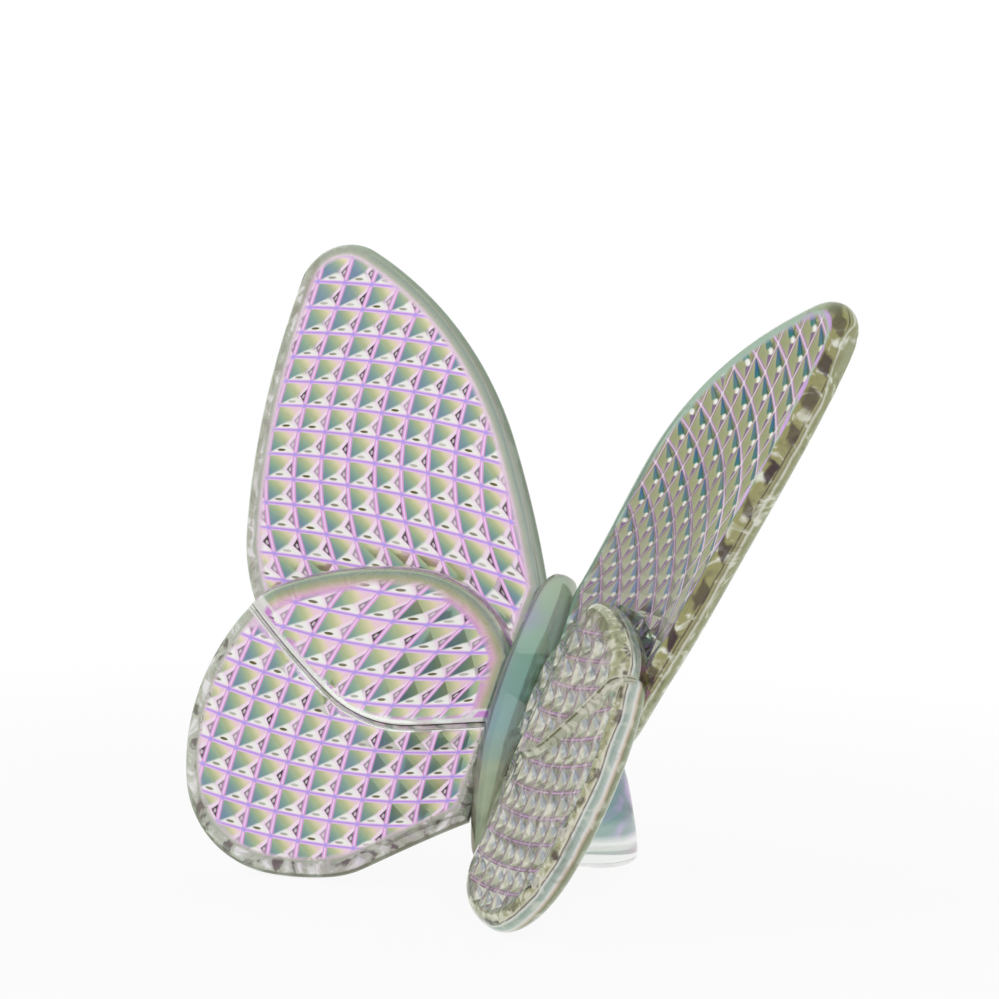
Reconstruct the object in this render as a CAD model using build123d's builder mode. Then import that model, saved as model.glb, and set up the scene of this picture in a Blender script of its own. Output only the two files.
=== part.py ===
"""Pressed glass butterfly ornament: body, foot and two pairs of wings cut with a net of pyramids."""

import os
from math import cos, radians, sin

from build123d import *

# Wings: flat blades that lean back and are swept towards the viewer, so that a pair stands in a V.
# A blade's own frame has X outwards, Y up along the blade and Z out of its upper face.
wing_thickness = 3.0
wing_rim_chamfer = 0.9
forewing_sweep = 25.0
forewing_lean = 24.8
forewing_reach = 28.8
forewing_rise = 67.4
forewing_root_y = -6.25
hindwing_sweep = 32.0
hindwing_lean = 25.2
hindwing_reach = 28.4
hindwing_rise = 33.6
hindwing_root_y = -6.95
hindwing_drop = 0.35

# Outlines: tangent arcs from the root round the tip and back, whose ends are shares of the reach and the rise
forewing_root_angle = 72.4
forewing_outline_shares = (
    (-0.18, 0.467), (0.038, 0.705), (0.681, 0.993), (0.941, 0.939), (0.972, 0.524), (0.493, 0.261),
    (-0.083, 0.255),
)
hindwing_root_angle = 73.2
hindwing_outline_shares = (
    (-0.183, 0.714), (0.257, 0.997), (0.725, 0.918), (0.812, 0.862), (0.979, 0.277), (0.637, 0.018),
    (0.419, 0.021), (0.3, 0.055), (-0.056, 0.213),
)

# Lobe: the part of the hind wing that laps the fore wing stands higher, down to this edge
lobe_height = 0.9
lobe_edge_chamfer = 0.5
lobe_margin = 1.2
lobe_edge_angle = -131.0
lobe_edge_shares = ((0.845, 0.863), (0.497, 0.571), (0.176, 0.482), (-0.088, 0.506))

# Net of pyramids: its lines cross at a column, counted inwards, and a row, counted down
cell_land = 0.45
cell_depth = 0.6
net_margin = 1.6
lap_margin = 0.6
forewing_net_out = 24.1
forewing_net_up = 62.3
forewing_net_across = 2.77
forewing_net_down = 2.66
forewing_net_shift = 1.06
forewing_net_bow = 0.094
forewing_net_fan = 0.031
forewing_net_rise = 0.23
forewing_net_droop = 0.035
forewing_net_widening = 0.029
hindwing_net_out = 24.4
hindwing_net_up = 18.75
hindwing_net_across = 2.7
hindwing_net_down = 2.73
hindwing_net_shift = 0.7
hindwing_net_bow = 0.051
hindwing_net_fan = 0.025
hindwing_net_fall = 0.82
hindwing_net_sag = 0.06
hindwing_net_close = 0.013
net_columns = range(-2, 14)
net_rows = range(-8, 18)

# Body: an oval bar along the valley between the wings, with its tail bent down
body_width = 4.8
body_depth = 5.8
tail_y, tail_z = -1.4, 2.3
waist_y, waist_z = -0.4, 6.9
middle_y, middle_z = 1.6, 14.4
neck_y, neck_z = 6.2, 23.8
head_y, head_z = 9.6, 30.4
body_section_shares = ((0.0, 0.2), (0.05, 0.52), (0.3, 0.82), (0.65, 1.0), (0.93, 0.82), (1.0, 0.3))

# Foot: a bent stem that widens downwards to a flat base
foot_y = 14.9
foot_base_radius = 5.1
foot_base_round = 0.9
foot_stem_radius = 4.1
foot_stem_y, foot_stem_z = 14.3, 8.0
foot_stem_bend = 7.0
foot_knee_radius = 3.3
foot_knee_y, foot_knee_z = 11.2, 15.0
foot_knee_bend = 31.0
foot_top_radius = 2.9
foot_top_y, foot_top_z = 5.2, 20.0
foot_top_bend = 58.0


def blade_plane(sweep, lean, root_y):
    """Plane of a right-hand wing: it passes through the valley line in the plane X = 0."""
    outwards = (cos(radians(sweep)), -sin(radians(sweep)), 0)
    forwards = cos(radians(lean))
    upper_face = (-sin(radians(sweep)) * forwards, -cos(radians(sweep)) * forwards, sin(radians(lean)))
    return Plane(origin=(0, root_y, 0), x_dir=outwards, z_dir=upper_face)


def arc_chain(points, first_angle):
    """Tangent arcs from point to point inside a BuildLine: the first one leaves at this angle."""
    direction = Vector(cos(radians(first_angle)), sin(radians(first_angle)))
    for start, end in zip(points, points[1:]):
        direction = TangentArc(start, end, tangent=direction) % 1


def outline(shares, first_angle, reach, rise, drop=0):
    """Closed outline of a blade: arcs from the root round the tip, and a straight line up the root."""
    points = [(reach * out, rise * up - drop) for out, up in shares]
    with BuildSketch() as face:
        with BuildLine():
            arc_chain(points, first_angle)
            Line(points[-1], points[0])
        make_face()
    return face.sketch


def forewing_crossing(column, row):
    """Where a column and a row of the fore wing's net cross: both families are bowed."""
    out = forewing_net_out - forewing_net_across * column + forewing_net_shift * row
    out -= forewing_net_fan * column * row + forewing_net_bow * row**2
    up = forewing_net_up - forewing_net_down * row + forewing_net_rise * column
    up -= forewing_net_widening * column * row + forewing_net_droop * column**2
    return out, up


def hindwing_crossing(column, row):
    """Where a column and a row of the hind wing's net cross."""
    out = hindwing_net_out - hindwing_net_across * column + hindwing_net_shift * row
    out -= hindwing_net_fan * column * row + hindwing_net_bow * row**2
    up = hindwing_net_up - hindwing_net_down * row - hindwing_net_fall * column
    up += hindwing_net_close * column * row + hindwing_net_sag * column**2
    return out, up


def pyramids(crossing, fields, level, depth, plane=None, clear_of=None):
    """Pyramids that dent a face at this level, one for each cell that lies wholly in one of the fields."""
    land_share = cell_land / 2 / forewing_net_across
    low, high = land_share, 1 - land_share
    dents = []
    for column in net_columns:
        for row in net_rows:
            steps = ((low, low), (high, low), (high, high), (low, high))
            corners = [crossing(column + across, row + down) for across, down in steps]
            if not any(all(field.is_inside(Vector(*corner)) for corner in corners) for field in fields):
                continue
            placed = [plane.from_local_coords(Vector(*corner)) for corner in corners] if plane else []
            if clear_of and any(clear_of.is_inside(corner) for corner in placed):
                continue
            rim = Wire.make_polygon([Vector(x, y, level) for x, y in corners])
            middle = crossing(column + 0.5, row + 0.5)
            dents.append(Solid.make_loft([rim, Vertex(*middle, level - depth)], ruled=True))
    return dents


# Body
with BuildPart() as body:
    with BuildLine(Plane.YZ) as body_axis:
        Spline((tail_y, tail_z), (waist_y, waist_z), (middle_y, middle_z), (neck_y, neck_z), (head_y, head_z))
    for along_share, width_share in body_section_shares:
        axis = body_axis.line
        section_plane = Plane(origin=axis @ along_share, x_dir=(1, 0, 0), z_dir=axis % along_share)
        with BuildSketch(section_plane):
            Ellipse(body_width / 2 * width_share, body_depth / 2 * width_share)
    loft()
body.part.label = "body"

# Foot
with BuildPart() as foot:
    with BuildSketch(Plane.XY.move(Location((0, foot_y, 0)))):
        Circle(foot_base_radius)
    for y, z, bend, radius in (
        (foot_stem_y, foot_stem_z, foot_stem_bend, foot_stem_radius),
        (foot_knee_y, foot_knee_z, foot_knee_bend, foot_knee_radius),
        (foot_top_y, foot_top_z, foot_top_bend, foot_top_radius),
    ):
        with BuildSketch(Plane(origin=(0, y, z), x_dir=(1, 0, 0)).rotated((bend, 0, 0))):
            Circle(radius)
    loft()
    fillet(foot.faces().sort_by(Axis.Z)[0].edges(), foot_base_round)
    add(body.part, mode=Mode.SUBTRACT)
foot.part.label = "foot"

# Blades in their own frames, before they are cut against each other
forewing_plane = blade_plane(forewing_sweep, forewing_lean, forewing_root_y)
hindwing_plane = blade_plane(hindwing_sweep, hindwing_lean, hindwing_root_y)
forewing_outline = outline(forewing_outline_shares, forewing_root_angle, forewing_reach, forewing_rise)
hindwing_outline = outline(
    hindwing_outline_shares, hindwing_root_angle, hindwing_reach, hindwing_rise, hindwing_drop
)

forewing_field = offset(forewing_outline, -net_margin)
hindwing_inner = offset(hindwing_outline, -lobe_margin)
lobe_edge = [(hindwing_reach * out, hindwing_rise * up - hindwing_drop) for out, up in lobe_edge_shares]
with BuildSketch() as lobe_side:
    with BuildLine():
        arc_chain(lobe_edge, lobe_edge_angle)
        far_corners = [(side * hindwing_reach, 2 * hindwing_rise) for side in (-1, 1)]
        Polyline(lobe_edge[-1], *far_corners, lobe_edge[0])
    make_face()
lobe_outline = hindwing_inner & lobe_side.sketch
lobe_field = offset(lobe_outline, -lobe_edge_chamfer)
lower_field = offset(hindwing_outline, -net_margin) - offset(lobe_outline, lap_margin)

with BuildPart() as forewing_blade:
    add(forewing_outline)
    extrude(amount=wing_thickness / 2, both=True)
    chamfer(forewing_blade.faces().filter_by(Axis.Z).edges(), wing_rim_chamfer)

with BuildPart() as hindwing_blade:
    add(hindwing_outline)
    extrude(amount=wing_thickness / 2, both=True)
    chamfer(hindwing_blade.faces().filter_by(Axis.Z).edges(), wing_rim_chamfer)
    with BuildSketch(Plane.XY.offset(wing_thickness / 2)):
        add(lobe_outline)
    extrude(amount=lobe_height)
    chamfer(hindwing_blade.faces().sort_by(Axis.Z)[-1].edges(), lobe_edge_chamfer)

# Prisms that tell which cells of one wing the other wing covers
with BuildPart() as forewing_shade:
    add(offset(forewing_outline, lap_margin))
    extrude(amount=3 * wing_thickness, both=True)
with BuildPart() as hindwing_shade:
    add(offset(hindwing_outline, lap_margin))
    extrude(amount=3 * wing_thickness, both=True)
forewing_shadow = forewing_shade.part.moved(forewing_plane.location).solid()
hindwing_shadow = hindwing_shade.part.moved(hindwing_plane.location).solid()

# Wings of the right side
upper, lower = wing_thickness / 2, -wing_thickness / 2
forewing_dents = pyramids(
    forewing_crossing, forewing_field.faces(), upper, cell_depth, forewing_plane, hindwing_shadow
) + pyramids(forewing_crossing, forewing_field.faces(), lower, -cell_depth)
hindwing_dents = pyramids(
    hindwing_crossing, lobe_field.faces(), upper + lobe_height, cell_depth
) + pyramids(hindwing_crossing, lower_field.faces(), upper, cell_depth) + pyramids(
    hindwing_crossing, lower_field.faces(), lower, -cell_depth, hindwing_plane, forewing_shadow
)
print("cells in each fore wing", len(forewing_dents), "and in each hind wing", len(hindwing_dents))

with BuildPart() as forewing_cut:
    add(forewing_blade.part)
    add(forewing_dents, mode=Mode.SUBTRACT)
with BuildPart() as right_forewing:
    add(forewing_cut.part.moved(forewing_plane.location))
    add(body.part, mode=Mode.SUBTRACT)
    add(foot.part, mode=Mode.SUBTRACT)
    with Locations((-forewing_reach, 0, 0)):
        Box(2 * forewing_reach, 4 * forewing_reach, 4 * forewing_rise, mode=Mode.SUBTRACT)
right_forewing.part.label = "right_forewing"

with BuildPart() as hindwing_cut:
    add(hindwing_blade.part)
    add(hindwing_dents, mode=Mode.SUBTRACT)
with BuildPart() as right_hindwing:
    add(hindwing_cut.part.moved(hindwing_plane.location))
    add(body.part, mode=Mode.SUBTRACT)
    add(foot.part, mode=Mode.SUBTRACT)
    add(forewing_blade.part.moved(forewing_plane.location), mode=Mode.SUBTRACT)
    with Locations((0, 0, -wing_thickness)):
        Box(4 * hindwing_reach, 4 * hindwing_reach, 2 * wing_thickness, mode=Mode.SUBTRACT)
    with Locations((-hindwing_reach, 0, 0)):
        Box(2 * hindwing_reach, 4 * hindwing_reach, 4 * hindwing_rise, mode=Mode.SUBTRACT)
right_hindwing.part.label = "right_hindwing"

# The left side mirrors the right
with BuildPart() as left_forewing:
    mirror(right_forewing.part, about=Plane.YZ)
left_forewing.part.label = "left_forewing"
with BuildPart() as left_hindwing:
    mirror(right_hindwing.part, about=Plane.YZ)
left_hindwing.part.label = "left_hindwing"

pieces = [body, foot, left_forewing, right_forewing, left_hindwing, right_hindwing]
whole = Compound([piece.part for piece in pieces]).bounding_box()
print("size", whole.size, "centre", whole.center(), "lowest", whole.min.Z)
os.makedirs("parts", exist_ok=True)
for piece in pieces:
    print(piece.part.label, len(piece.solids()), "solid", round(piece.part.volume, 1), "mm3")
    export_step(piece.part, f"parts/{piece.part.label}.step")
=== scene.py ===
import math
from types import SimpleNamespace

import bmesh
import bpy
from mathutils import Matrix, Vector
from mathutils.geometry import delaunay_2d_cdt
from mathutils.kdtree import KDTree


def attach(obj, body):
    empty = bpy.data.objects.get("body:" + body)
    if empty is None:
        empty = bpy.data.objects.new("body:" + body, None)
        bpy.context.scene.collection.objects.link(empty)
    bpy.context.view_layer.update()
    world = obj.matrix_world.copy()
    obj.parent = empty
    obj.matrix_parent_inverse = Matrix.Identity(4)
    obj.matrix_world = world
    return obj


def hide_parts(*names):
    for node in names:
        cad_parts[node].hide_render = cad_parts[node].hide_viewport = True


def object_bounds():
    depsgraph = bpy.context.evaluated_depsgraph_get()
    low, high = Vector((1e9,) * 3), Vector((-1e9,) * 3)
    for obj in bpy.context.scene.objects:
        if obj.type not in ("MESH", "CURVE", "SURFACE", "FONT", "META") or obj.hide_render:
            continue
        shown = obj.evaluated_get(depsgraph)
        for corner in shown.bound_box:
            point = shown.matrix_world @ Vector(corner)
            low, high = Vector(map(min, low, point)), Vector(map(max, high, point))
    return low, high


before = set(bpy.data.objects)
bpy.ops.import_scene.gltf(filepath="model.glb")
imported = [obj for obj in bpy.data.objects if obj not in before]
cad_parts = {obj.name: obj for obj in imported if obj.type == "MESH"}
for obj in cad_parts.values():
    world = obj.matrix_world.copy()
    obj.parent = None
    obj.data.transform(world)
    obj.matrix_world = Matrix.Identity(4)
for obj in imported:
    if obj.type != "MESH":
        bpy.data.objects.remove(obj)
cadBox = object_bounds()
mm = 0.001
white = (1.0, 1.0, 1.0)

# Camera
view = {
    "place": (298.9, -330.55, 103.4),  # mm
    "right": (0.7373, 0.6747, 0.0354),
    "up": (-0.1231, 0.0827, 0.9889),
    "lens": 162.16,
    "sensor": 36.0,
    "shift": (-0.0025, 0.0035),
    "farthest": 20.0,  # m
}
back = Vector(view["right"]).cross(Vector(view["up"])).normalized()
up = back.cross(Vector(view["right"])).normalized()
right = up.cross(back)
cameraData = bpy.data.cameras.new("camera")
cameraData.lens = view["lens"]
cameraData.sensor_width = view["sensor"]
cameraData.shift_x, cameraData.shift_y = view["shift"]
cameraData.clip_end = view["farthest"]
camera = bpy.data.objects.new("camera", cameraData)
turned = Matrix((right, up, back)).transposed().to_4x4()
camera.matrix_world = Matrix.Translation(Vector(view["place"]) * mm) @ turned
bpy.context.collection.objects.link(camera)
bpy.context.scene.camera = camera
print("camera placed")


# Shader maths
class Value:
    # A node's output on which sums are written as in Python
    def __init__(self, tree, socket):
        self.tree, self.socket = tree, socket

    def maths(self, operation, *terms, clamp=False):
        settings = {"operation": operation, "use_clamp": clamp}
        return self.tree.node("ShaderNodeMath", settings, dict(enumerate(terms)))

    def __add__(self, other):
        return self.maths("ADD", self, other)

    def __radd__(self, other):
        return self.maths("ADD", other, self)

    def __sub__(self, other):
        return self.maths("SUBTRACT", self, other)

    def __rsub__(self, other):
        return self.maths("SUBTRACT", other, self)

    def __mul__(self, other):
        return self.maths("MULTIPLY", self, other)

    def __rmul__(self, other):
        return self.maths("MULTIPLY", other, self)

    def __truediv__(self, other):
        return self.maths("DIVIDE", self, other)

    def __rtruediv__(self, other):
        return self.maths("DIVIDE", other, self)

    def clamped(self):
        return self.maths("ADD", self, 0.0, clamp=True)

    def size(self):
        return self.maths("ABSOLUTE", self)

    def larger(self, other):
        return self.maths("MAXIMUM", self, other)

    def fraction(self):
        return self.maths("FRACT", self)

    def floor(self):
        return self.maths("FLOOR", self)

    def root(self):
        return self.maths("SQRT", self)

    def past(self, start, sharpness):
        # 0 up to the start, then rising to 1
        return ((self - start) * sharpness).clamped()

    def below(self, end, sharpness):
        # 0 from the end on, rising to 1 below it
        return ((end - self) * sharpness).clamped()

    def near(self, place, reach, sharpness):
        return (self - place).size().below(reach, sharpness)


class Nodes:
    # The node tree of one material or of the world
    def __init__(self, owner):
        owner.use_nodes = True
        self.nodes, self.links = owner.node_tree.nodes, owner.node_tree.links
        self.nodes.clear()

    def node(self, kind, settings, inputs, output=0):
        made = self.nodes.new(kind)
        stops = settings.get("stops")
        for name, value in settings.items():
            if name != "stops":
                setattr(made, name, value)
        if stops:
            elements = made.color_ramp.elements
            while len(elements) < len(stops):
                elements.new(0.5)
            for element, (place, colour) in zip(elements, stops):
                element.position, element.color = place, (*colour, 1)
        for name, value in inputs.items():
            if isinstance(value, Value):
                self.links.new(value.socket, made.inputs[name])
            elif isinstance(value, tuple) and made.inputs[name].type == "RGBA":
                made.inputs[name].default_value = (*value, 1)
            else:
                made.inputs[name].default_value = value
        return Value(self, made.outputs[output]) if made.outputs else made

    def mix(self, factor, first, second):
        settings = {"data_type": "RGBA", "clamp_factor": True}
        return self.node("ShaderNodeMix", settings, {0: factor, 6: first, 7: second}, 2)

    def blend(self, factor, first, second):
        return self.node("ShaderNodeMixShader", {}, {0: factor, 1: first, 2: second})

    def ramp(self, stops, factor):
        return self.node("ShaderNodeValToRGB", {"stops": stops}, {"Fac": factor})

    def noise(self, place, scale, detail, distortion=0.0):
        inputs = {"Vector": place, "Scale": scale, "Detail": detail, "Distortion": distortion}
        return self.node("ShaderNodeTexNoise", {}, inputs)

    def place(self, kind="Object"):
        return self.node("ShaderNodeTexCoord", {}, {}, kind)

    def ray(self, kind):
        return self.node("ShaderNodeLightPath", {}, {}, kind)

    def attribute(self, name, output="Fac"):
        return self.node("ShaderNodeAttribute", {"attribute_name": name}, {}, output)

    def parts(self, vector):
        made = self.node("ShaderNodeSeparateXYZ", {}, {0: vector})
        return [Value(self, socket) for socket in made.socket.node.outputs]

    def end(self, shader, output="ShaderNodeOutputMaterial"):
        self.node(output, {}, {"Surface": shader})


# Coated glass: clear glass under a coating whose colours follow the cut cells, lands and rims. Its
# colours are painted as each wing looks from this view, partly the coating's own tints and partly
# painted reflections, refractions, highlights and shade, so the left and right wings carry two
# differently painted copies of one coating.
# Most pairs below say where a mark starts and how sharply, in shares of a cell or mm of the rim
glassValues = {
    "ior": 1.5, "filmThickness": 420.0, "filmIor": 1.9, "roughness": 0.015,
    "coatRoughness": 0.14, "metallic": 0.6, "clearness": 0.3,
}
coatingMarks = {
    "marginOver": 4.0,  # mm inwards that the margin and ridge colours cover
    "netted": (0.12, 3), "land": (0.405, 30), "landCore": (0.455, 30),
    "rows": (-0.05, 10), "crossing": (0.86, 14),
    "lumps": (380.0, 2.0), "streaks": (260.0, 3.0, 2.0),  # noise: scale, detail, distortion
    "step": (0.5, 6), "stepLines": ((-0.12, 0.07, 25), (0.2, 0.04, 25)),  # place, reach, sharpness
}
leftCoating = {
    "slant": (  # from the lower outer corner of a cell to its upper inner corner
        (0.0, (0.17, 0.34, 0.36)), (0.3, (0.27, 0.45, 0.33)), (0.6, (0.52, 0.59, 0.31)),
        (0.85, (0.86, 0.78, 0.50)), (1.0, (0.96, 0.70, 0.80)),
    ),
    "slantSpread": 0.85, "slantDrift": 0.9, "drift": (55.0, 1.0),
    "shadow": (0.20, 0.29, 0.46), "shadowDrift": -5, "shadowPast": (0.35, 1), "shadowShare": 0.7,
    "floor": (1.0, 1.0, 0.97), "blush": (0.96, 0.78, 0.94),
    "blushPast": (-0.0625, 8), "palePast": (-0.0375, 8),
    "dark": (0.015, 0.02, 0.005), "darkPast": (0.16, 18), "darkHeight": 0.07, "darkTaper": 0.85,
    "core": ((0.34, 0.09), (0.06, 0.1)), "coreShare": 0.6, "darkVaries": 0.5,
    "blob": (0.13, 0.12, 0.02), "blobSpot": ((-0.05, 0.31), (0.17, 0.07)),
    "blobMost": 1.1, "blobVaries": 0.7,
    "rowLand": (0.52, 0.32, 0.90), "rowSide": (0.86, 0.60, 0.94), "crossing": (0.50, 0.38, 0.95),
    "columnLand": (0.95, 0.72, 0.96), "columnSide": (0.82, 0.38, 0.80),
    "margin": (  # from the outline inwards
        (0.0, (0.10, 0.17, 0.11)), (0.05, (0.24, 0.38, 0.27)), (0.15, (0.40, 0.50, 0.36)),
        (0.2, (0.26, 0.42, 0.31)), (0.34, (0.50, 0.58, 0.42)), (0.42, (0.95, 0.76, 0.90)),
        (0.8, (0.84, 0.58, 0.93)),
    ),
    "ridge": (  # the same on the raised lobe, where its first stops paint a white highlight along the rounded crest
        (0.0, (0.98, 1.0, 0.98)), (0.09, (0.98, 1.0, 0.98)), (0.13, (0.62, 0.28, 0.76)),
        (0.18, (0.72, 0.80, 0.60)), (0.3, (0.24, 0.42, 0.31)), (0.46, (0.48, 0.56, 0.26)),
        (0.6, (0.85, 0.62, 0.62)), (0.75, (0.84, 0.42, 0.90)),
    ),
    "outerEdge": (0.56, 0.62, 0.50), "edgeReach": (1.35, 4), "paleStreaks": (0.53, 10),
    "darkStreaks": (0.47, 14), "darkStreakShare": 0.3, "hindStreakShare": 0.6,
    "outline": (0.16, 0.20, 0.13), "outlineReach": (0.2, 12),
    "uncut": (0.78, 0.30, 0.84), "uncutRow": (-0.95, 0.4, 6), "uncutWidth": (0.34, 9),
    "step": (0.98, 1.0, 0.95), "stepReach": (1.6, 4), "stepDark": (0.05, 0.06, 0.03),
    "coat": 0.9, "marginCoat": 0.62,
}
rightCoating = {
    "slant": ((0.0, (0.33, 0.33, 0.15)), (0.5, (0.47, 0.48, 0.27)), (1.0, (0.36, 0.40, 0.20))),
    "lowerSlant": (0.50, 0.50, 0.52), "lowerShare": 0.55,
    "hindSlant": (0.66, 0.68, 0.54), "hindShare": 0.4,
    "upper": (0.01, 0.13, 0.33), "upperTip": (0.01, 0.21, 0.17), "lowerTint": (0.30, 0.34, 0.56),
    "upperWidth": (0.36, 18), "upperPast": (0.06, 14), "tipPast": (0.1364, 2.2),
    "upperVaries": 0.3, "wedgeTaper": 0.34,
    "lower": (0.22, 0.11, 0.31), "lowerWidth": (0.30, 18), "lowerBelow": (-0.10, 14),
    "lowerWedgeShare": 0.85,
    "spark": (1.0, 1.0, 0.96), "sparkReach": (0.17, 14), "sparkFlat": 0.5, "sparkFades": 0.5,
    "rowLand": (0.80, 0.60, 0.76), "rowSide": (0.45, 0.26, 0.46), "crossing": (0.86, 0.74, 0.84),
    "columnLand": (0.82, 0.68, 0.70), "columnSide": (0.33, 0.22, 0.28),
    "margin": (
        (0.0, (0.30, 0.36, 0.24)), (0.12, (0.33, 0.47, 0.34)), (0.3, (0.36, 0.52, 0.40)),
        (0.5, (0.46, 0.62, 0.54)), (0.8, (0.56, 0.68, 0.64)),
    ),
    "ridge": (
        (0.0, (0.26, 0.30, 0.18)), (0.3, (0.42, 0.44, 0.24)), (0.6, (0.55, 0.56, 0.36)),
        (1.0, (0.58, 0.58, 0.42)),
    ),
    "foreBand": (  # the outer edge, from its rear side to its front side
        (0.0, (0.40, 0.44, 0.28)), (0.3, (0.34, 0.36, 0.17)), (0.4, (0.76, 0.80, 0.68)),
        (0.46, (0.30, 0.31, 0.14)), (0.55, (0.40, 0.42, 0.20)), (0.6, (0.07, 0.07, 0.03)),
        (0.64, (0.36, 0.38, 0.15)), (1.0, (0.33, 0.34, 0.12)),
    ),
    "hindBand": (
        (0.0, (0.38, 0.46, 0.34)), (0.3, (0.28, 0.31, 0.18)), (0.38, (0.74, 0.62, 0.50)),
        (0.46, (0.88, 0.92, 0.87)), (0.54, (0.50, 0.62, 0.55)), (0.68, (0.34, 0.47, 0.39)),
        (0.76, (0.86, 0.90, 0.84)), (0.8, (0.13, 0.13, 0.08)), (0.84, (0.80, 0.80, 0.64)),
        (0.9, (0.42, 0.44, 0.25)),
    ),
    "bandReach": (1.6, 4), "bandLumps": 0.12,
    "streak": (0.84, 0.87, 0.74), "streaks": (0.55, 8), "streaksOffHind": 0.4,
    "darkStreaks": (0.44, 7), "darkStreakShare": 0.7, "darkOffHind": 0.25,
    "square": (0.008, 0.008, 0.005), "squareRow": (-0.1, 0.30, 10), "squareLumps": 0.8,
    "squareLevel": 0.6, "squareDepth": (0.36, 8), "squareVaries": 0.5,
    "hindSquareLevel": 0.25, "hindSquareDepth": 0.16,
    "bead": (0.66, 0.38, 0.82), "beadRim": (1.75, 0.55, 5), "beadRow": (0.36, 7),
    "beadLevel": (0.8, 12),
    "step": (0.50, 0.54, 0.41), "stepDark": (0.16, 0.17, 0.08),
    "grain": (0.94, 0.93, 0.80), "fine": (700.0, 2.0, 1.0), "grainLevel": (0.72, 12),
    "grainPast": (0.5, 9), "darkGrain": (0.43, 9), "grainShare": 0.6,
    "coat": 0.9, "marginCoat": 0.82,
}


def glass(nodes, colour, settings):
    # Principled glass under a thin film
    return nodes.node("ShaderNodeBsdfPrincipled", {}, {
        "Base Color": colour,
        "Roughness": settings["roughness"],
        "IOR": settings["ior"],
        "Transmission Weight": 1.0,
        "Thin Film Thickness": settings["filmThickness"],
        "Thin Film IOR": settings["filmIor"],
    })


def gloss(nodes, colour, settings):
    return nodes.node("ShaderNodeBsdfPrincipled", {}, {
        "Base Color": colour,
        "Metallic": settings["metallic"],
        "Roughness": settings["coatRoughness"],
    })


def coated(nodes, share, colour, settings):
    # The coating's gloss over its share of the glass, which is a paler shade of the same colour
    clear = nodes.mix(settings["clearness"], colour, white)
    return nodes.blend(share, glass(nodes, clear, settings), gloss(nodes, colour, settings))


def wingMarks(nodes):
    # What the mesh says of a place on the wing: its place in the cell, in the rim and at the step
    k, r, netted = nodes.parts(nodes.attribute("cell", "Vector"))
    rim, level, outer = nodes.parts(nodes.attribute("edge", "Vector"))
    raised, hidden, down = nodes.parts(nodes.attribute("over", "Vector"))
    count = nodes.node("ShaderNodeCombineXYZ", {}, {0: k.floor(), 1: r.floor()})
    lot = nodes.node("ShaderNodeTexWhiteNoise", {"noise_dimensions": "2D"}, {"Vector": count})
    place = nodes.place()
    return SimpleNamespace(
        x=k.fraction() - 0.5, y=r.fraction() - 0.5, lot=lot, place=place,
        netted=netted.past(*coatingMarks["netted"]),
        rim=rim, level=level, outer=outer, raised=raised, hidden=hidden, down=down,
        step=nodes.attribute("step"), hind=nodes.attribute("hind"),
        lumps=nodes.noise(place, *coatingMarks["lumps"]) - 0.5,
        streaks=nodes.noise(place, *coatingMarks["streaks"]),
    )


def varied(lot, share):
    # From cell to cell, between 1 - share and 1
    return lot * share + (1 - share)


def spot(marks, place, reach):
    # 1 inside an oval of the cell, 0 outside it
    sharpness = 2
    across, along = (marks.x - place[0]) / reach[0], (marks.y - place[1]) / reach[1]
    return ((1 - across * across - along * along) * sharpness).clamped()


def frontCells(nodes, marks, coating):
    # Seen square on: facet colours painted as the facets look from this view, teal to straw on two
    # facets, pink and white on the others, with painted dark refractions and a painted refraction
    # blob
    x, y, lot, slant = marks.x, marks.y, marks.lot, marks.x - marks.y
    drift = nodes.noise(marks.place, *coating["drift"]) - 0.5
    along = slant * coating["slantSpread"] + 0.5 + drift * coating["slantDrift"]
    shadow = (drift * coating["shadowDrift"] - slant).past(*coating["shadowPast"])
    shade = nodes.ramp(coating["slant"], along)
    shade = nodes.mix(shadow * coating["shadowShare"], shade, coating["shadow"])
    pale = nodes.mix(slant.past(*coating["blushPast"]), coating["floor"], coating["blush"])
    colour = nodes.mix((x + y).past(*coating["palePast"]), shade, pale)
    # Painted dark refraction: a dark triangle in each cell, lighter at its core
    dark = x - (y - coating["darkHeight"]).size() * coating["darkTaper"]
    dark = dark.past(*coating["darkPast"]) - spot(marks, *coating["core"]) * coating["coreShare"]
    dark = dark.clamped() * varied(lot, coating["darkVaries"])
    colour = nodes.mix(dark, colour, coating["dark"])
    # Painted refraction: an olive blob on the lower facet
    blob = spot(marks, *coating["blobSpot"]) * (coating["blobMost"] - lot * coating["blobVaries"])
    return nodes.mix(blob, colour, coating["blob"])


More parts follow.
